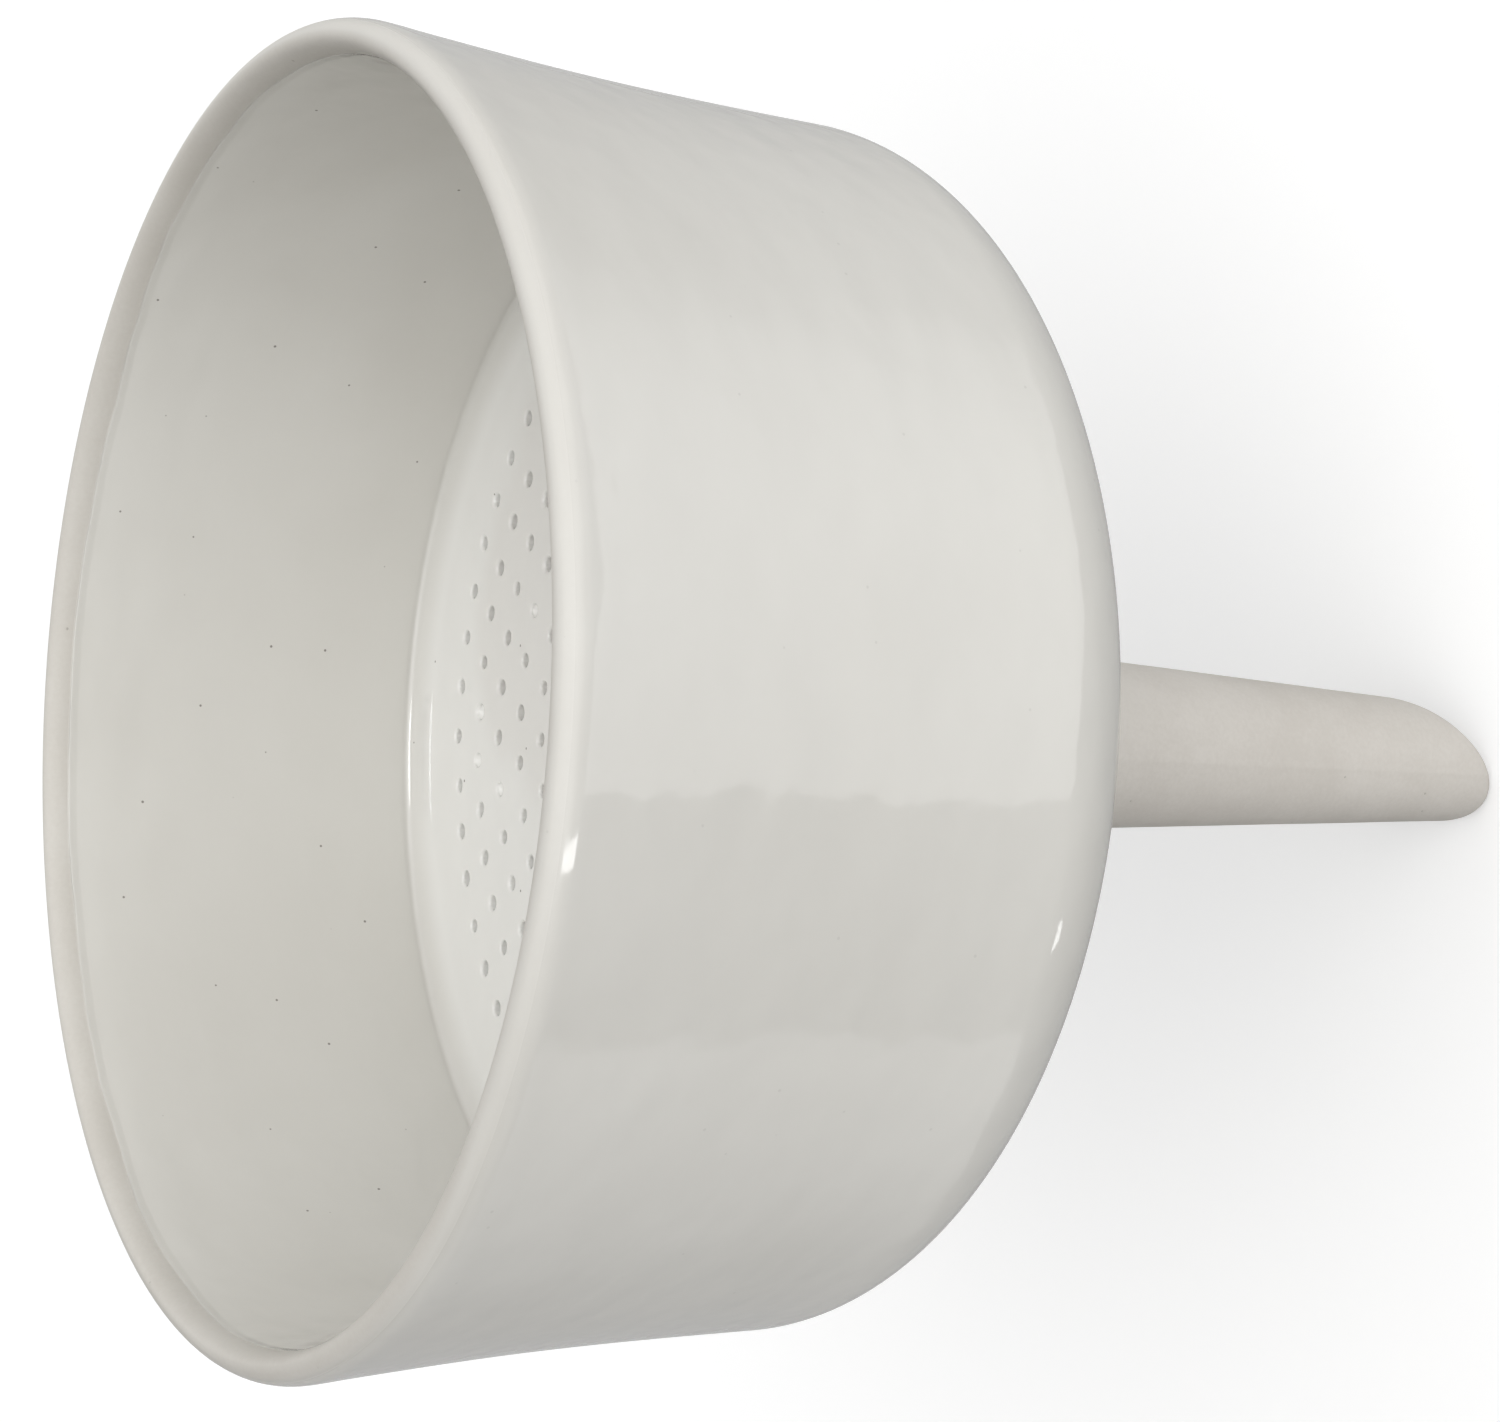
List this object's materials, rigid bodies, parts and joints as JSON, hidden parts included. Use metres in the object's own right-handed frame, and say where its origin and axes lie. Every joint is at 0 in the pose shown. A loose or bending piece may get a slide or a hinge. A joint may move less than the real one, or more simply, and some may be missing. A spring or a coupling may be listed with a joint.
{
  "type": "buchner funnel",
  "caption": "Porcelain suction funnel: flared cylindrical bowl, fixed perforated filter plate, domed collector and a tapered stem with a slanted tip.",
  "frame": {"origin": "on the axis, at the root of the stem, where the rubber adapter of a filter flask seats the funnel", "axes": "+Z along the axis towards the open mouth, +X towards the long side of the slanted stem tip"},
  "size_m": [0.17, 0.17, 0.2071],
  "materials": {
    "white_glaze": "clear gloss glaze over warm white porcelain",
    "bisque": "unglazed, matt, fine-grained, slightly beige"
  },
  "bodies": {
    "root": {"bowl_wall": "white_glaze", "filter_plate": "white_glaze", "plate_cove": "white_glaze", "plate_ledge": "white_glaze", "collector_bowl": "white_glaze", "stem_collar": "bisque", "stem": "bisque"}
  },
  "joints": []
}
